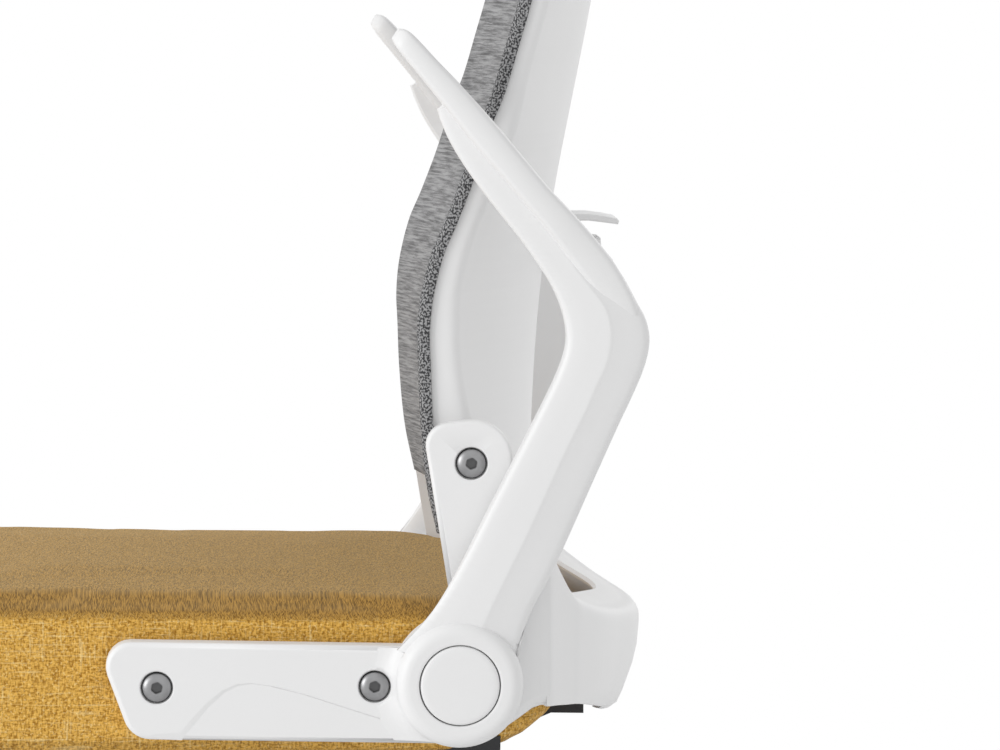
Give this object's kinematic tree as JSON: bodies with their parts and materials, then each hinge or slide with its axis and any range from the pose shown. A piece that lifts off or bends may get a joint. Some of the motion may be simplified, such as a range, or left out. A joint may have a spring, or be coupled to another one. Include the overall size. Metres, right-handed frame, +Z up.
{
  "type": "swivel task chair",
  "caption": "Swivel task chair with woven cushion seat, mesh back on a white shell, flip-up arms, lumbar slide, gas lift, tilt and twin-wheel casters.",
  "frame": {"origin": "on the floor, at the middle of the overall box seen from above", "axes": "+X to the sitter's left, +Y to the rear of the chair, +Z up"},
  "size_m": [0.6518, 0.6198, 0.9471],
  "materials": {
    "seat_fabric": "coarse woven mustard cloth over foam",
    "black_plastic": "fine moulded texture",
    "black_steel": "black powder coat",
    "brass": "turned",
    "steel": "zinc plated, dull",
    "white_plastic": "satin moulded nylon",
    "back_mesh": "grey knitted mesh with irregular cross ribs",
    "bush_plastic": "self-lubricating",
    "wheel_tread": "matte soft tread"
  },
  "bodies": {
    "base": {"star_base": "white_plastic", "column_tube": "black_steel", "column_guide": "black_plastic", "thrust_bearing": "steel"},
    "piston": {"piston_rod": "steel"},
    "head": {"mechanism_housing": "black_steel", "gas_cylinder": "steel", "tension_spring": "steel"},
    "knob": {"tension_knob": "black_plastic"},
    "lever": {"height_lever": "black_plastic"},
    "seat": {"seat_cushion": "seat_fabric", "seat_pan": "black_plastic", "seat_undershell": "black_plastic", "seat_inserts": "brass", "left_side_bracket": "white_plastic", "right_side_bracket": "white_plastic", "seat_bolts": "steel", "back_bolts": "steel", "rear_band": "white_plastic", "band_screws": "steel", "back_shell": "white_plastic", "back_frame": "white_plastic", "back_mesh": "back_mesh", "left_pivot_bolt": "steel", "right_pivot_bolt": "steel", "mechanism_plate": "black_steel", "plate_bolts": "steel", "tilt_pin": "steel"},
    "lumbar": {"lumbar_pad": "white_plastic", "lumbar_tab": "white_plastic"},
    "left_arm": {"left_arm_body": "white_plastic", "left_arm_pad": "white_plastic", "left_hub_cap": "white_plastic", "left_pivot_bush": "bush_plastic"},
    "right_arm": {"right_arm_body": "white_plastic", "right_arm_pad": "white_plastic", "right_hub_cap": "white_plastic", "right_pivot_bush": "bush_plastic"},
    "caster_1": {"caster_1_fork": "black_plastic", "caster_1_axle": "steel"},
    "caster_1_a": {"caster_1_wheel_a": "wheel_tread"},
    "caster_1_b": {"caster_1_wheel_b": "wheel_tread"},
    "caster_2": {"caster_2_fork": "black_plastic", "caster_2_axle": "steel"},
    "caster_2_a": {"caster_2_wheel_a": "wheel_tread"},
    "caster_2_b": {"caster_2_wheel_b": "wheel_tread"},
    "caster_3": {"caster_3_fork": "black_plastic", "caster_3_axle": "steel"},
    "caster_3_a": {"caster_3_wheel_a": "wheel_tread"},
    "caster_3_b": {"caster_3_wheel_b": "wheel_tread"},
    "caster_4": {"caster_4_fork": "black_plastic", "caster_4_axle": "steel"},
    "caster_4_a": {"caster_4_wheel_a": "wheel_tread"},
    "caster_4_b": {"caster_4_wheel_b": "wheel_tread"},
    "caster_5": {"caster_5_fork": "black_plastic", "caster_5_axle": "steel"},
    "caster_5_a": {"caster_5_wheel_a": "wheel_tread"},
    "caster_5_b": {"caster_5_wheel_b": "wheel_tread"}
  },
  "joints": [
    {"name": "seat_swivel", "type": "hinge", "parent": "base", "child": "piston", "pos_m": [0, -0.02486, 0.072], "axis": [0, 0, 1], "continuous": true},
    {"name": "seat_lift", "type": "slide", "parent": "piston", "child": "head", "axis": [0, 0, 1], "range_m": [-0.04, 0.06]},
    {"name": "seat_tilt", "type": "hinge", "parent": "head", "child": "seat", "pos_m": [0, -0.08086, 0.344], "axis": [-1, 0, 0], "range_deg": [0, 12], "stiffness_Nm_per_rad": 110, "springref_deg": -14.32},
    {"name": "tension_knob_turn", "type": "hinge", "parent": "head", "child": "knob", "pos_m": [0, -0.10886, 0.324], "axis": [0, -1, 0], "continuous": true},
    {"name": "height_lever_turn", "type": "hinge", "parent": "head", "child": "lever", "pos_m": [-0.064, 0.00514, 0.32], "axis": [-1, 0, 0], "range_deg": [0, 12], "stiffness_Nm_per_rad": 1, "springref_deg": -5.73},
    {"name": "lumbar_slide", "type": "slide", "parent": "seat", "child": "lumbar", "axis": [0, 0.1908, 0.9816], "range_m": [-0.02, 0.02]},
    {"name": "left_arm_flip", "type": "hinge", "parent": "seat", "child": "left_arm", "pos_m": [0.266, 0.11914, 0.418], "axis": [1, 0, 0], "range_deg": [0, 48.9]},
    {"name": "right_arm_flip", "type": "hinge", "parent": "seat", "child": "right_arm", "pos_m": [-0.266, 0.11914, 0.418], "axis": [1, 0, 0], "range_deg": [0, 48.9]},
    {"name": "caster_1_swivel", "type": "hinge", "parent": "base", "child": "caster_1", "pos_m": [0, 0.25514, 0.064], "axis": [0, 0, 1], "continuous": true},
    {"name": "caster_1_roll_a", "type": "hinge", "parent": "caster_1", "child": "caster_1_a", "pos_m": [0, 0.27514, 0.03], "axis": [-1, 0, 0], "continuous": true},
    {"name": "caster_1_roll_b", "type": "hinge", "parent": "caster_1", "child": "caster_1_b", "pos_m": [0, 0.27514, 0.03], "axis": [-1, 0, 0], "continuous": true},
    {"name": "caster_2_swivel", "type": "hinge", "parent": "base", "child": "caster_2", "pos_m": [-0.2663, 0.06167, 0.064], "axis": [0, 0, 1], "continuous": true},
    {"name": "caster_2_roll_a", "type": "hinge", "parent": "caster_2", "child": "caster_2_a", "pos_m": [-0.28532, 0.06785, 0.03], "axis": [-0.309, -0.9511, 0], "continuous": true},
    {"name": "caster_2_roll_b", "type": "hinge", "parent": "caster_2", "child": "caster_2_b", "pos_m": [-0.28532, 0.06785, 0.03], "axis": [-0.309, -0.9511, 0], "continuous": true},
    {"name": "caster_3_swivel", "type": "hinge", "parent": "base", "child": "caster_3", "pos_m": [-0.16458, -0.25138, 0.064], "axis": [0, 0, 1], "continuous": true},
    {"name": "caster_3_roll_a", "type": "hinge", "parent": "caster_3", "child": "caster_3_a", "pos_m": [-0.17634, -0.26756, 0.03], "axis": [0.809, -0.5878, 0], "continuous": true},
    {"name": "caster_3_roll_b", "type": "hinge", "parent": "caster_3", "child": "caster_3_b", "pos_m": [-0.17634, -0.26756, 0.03], "axis": [0.809, -0.5878, 0], "continuous": true},
    {"name": "caster_4_swivel", "type": "hinge", "parent": "base", "child": "caster_4", "pos_m": [0.16458, -0.25138, 0.064], "axis": [0, 0, 1], "continuous": true},
    {"name": "caster_4_roll_a", "type": "hinge", "parent": "caster_4", "child": "caster_4_a", "pos_m": [0.17634, -0.26756, 0.03], "axis": [0.809, 0.5878, 0], "continuous": true},
    {"name": "caster_4_roll_b", "type": "hinge", "parent": "caster_4", "child": "caster_4_b", "pos_m": [0.17634, -0.26756, 0.03], "axis": [0.809, 0.5878, 0], "continuous": true},
    {"name": "caster_5_swivel", "type": "hinge", "parent": "base", "child": "caster_5", "pos_m": [0.2663, 0.06167, 0.064], "axis": [0, 0, 1], "continuous": true},
    {"name": "caster_5_roll_a", "type": "hinge", "parent": "caster_5", "child": "caster_5_a", "pos_m": [0.28532, 0.06785, 0.03], "axis": [-0.309, 0.9511, 0], "continuous": true},
    {"name": "caster_5_roll_b", "type": "hinge", "parent": "caster_5", "child": "caster_5_b", "pos_m": [0.28532, 0.06785, 0.03], "axis": [-0.309, 0.9511, 0], "continuous": true}
  ]
}
